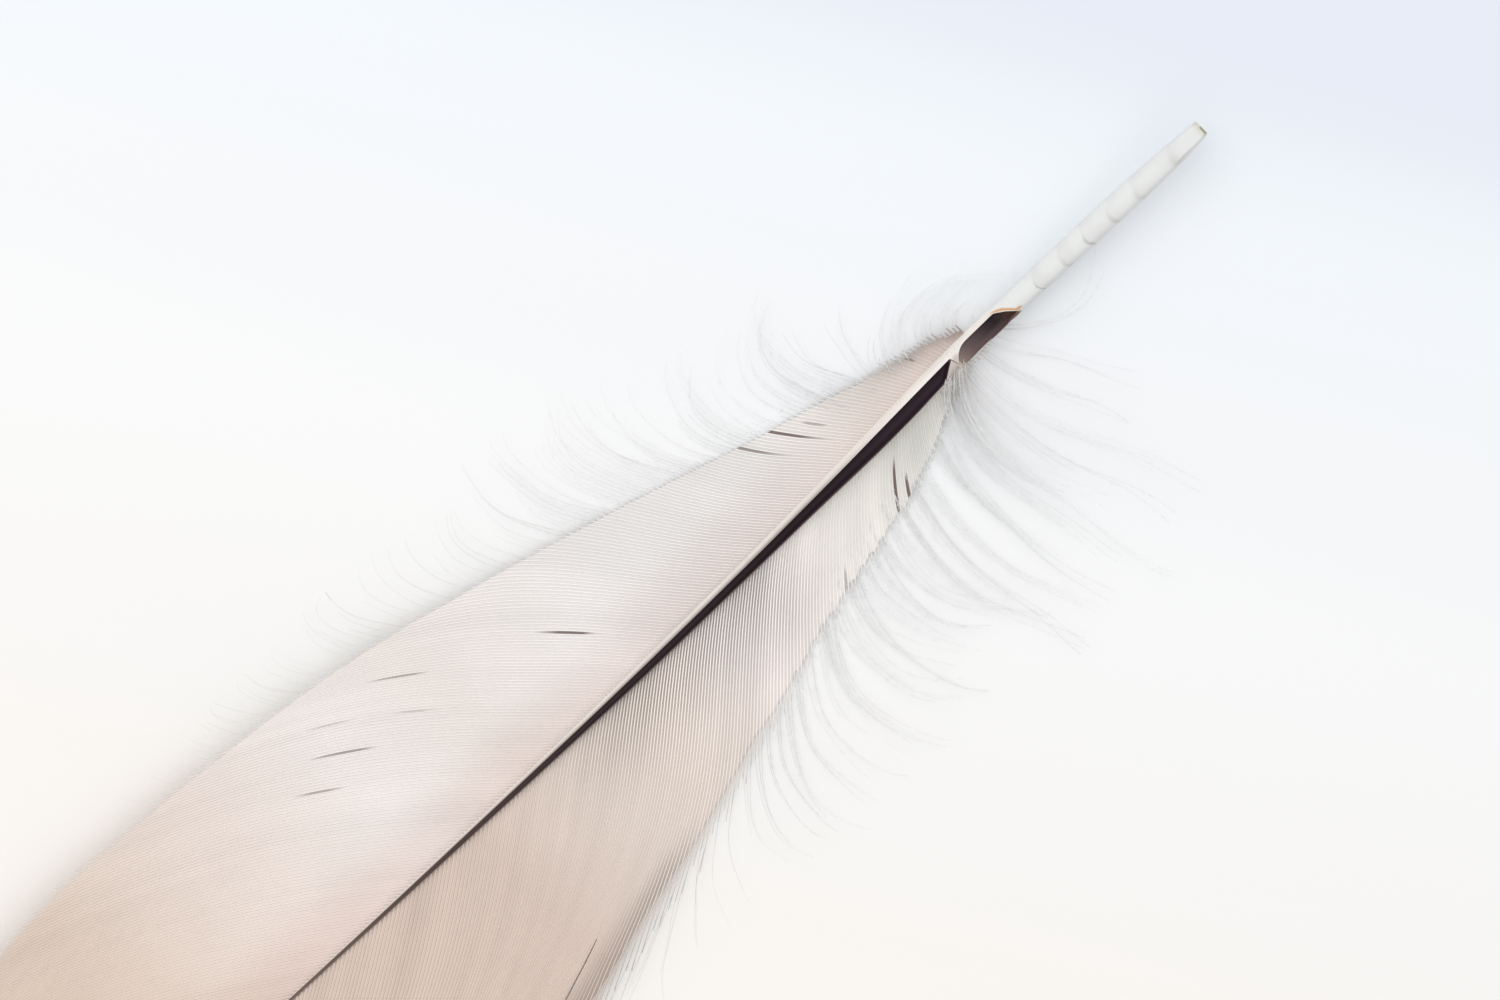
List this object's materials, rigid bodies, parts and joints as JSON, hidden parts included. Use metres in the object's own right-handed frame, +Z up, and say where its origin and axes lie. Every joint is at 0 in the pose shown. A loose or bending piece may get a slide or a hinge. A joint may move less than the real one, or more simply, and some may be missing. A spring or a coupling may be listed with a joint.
{
  "type": "feather",
  "caption": "Bird's flight feather lying underside up: bare quill, grooved shaft, two vanes of close barbs and a fringe of loose downy locks along both edges.",
  "frame": {"origin": "under the middle of the feather's box, on the surface that it lies on", "axes": "+X along the shaft from the bare quill's end to the tip; +Y towards the vane with the longer down; +Z up, which is the feather's grooved underside"},
  "size_m": [0.138, 0.049, 0.0037],
  "materials": {
    "quill": "satin horn, slightly see-through, dark in the groove",
    "vane": "matte warm grey barbs",
    "down": "soft pale down"
  },
  "bodies": {
    "root": {"feather": "vane"}
  },
  "joints": []
}
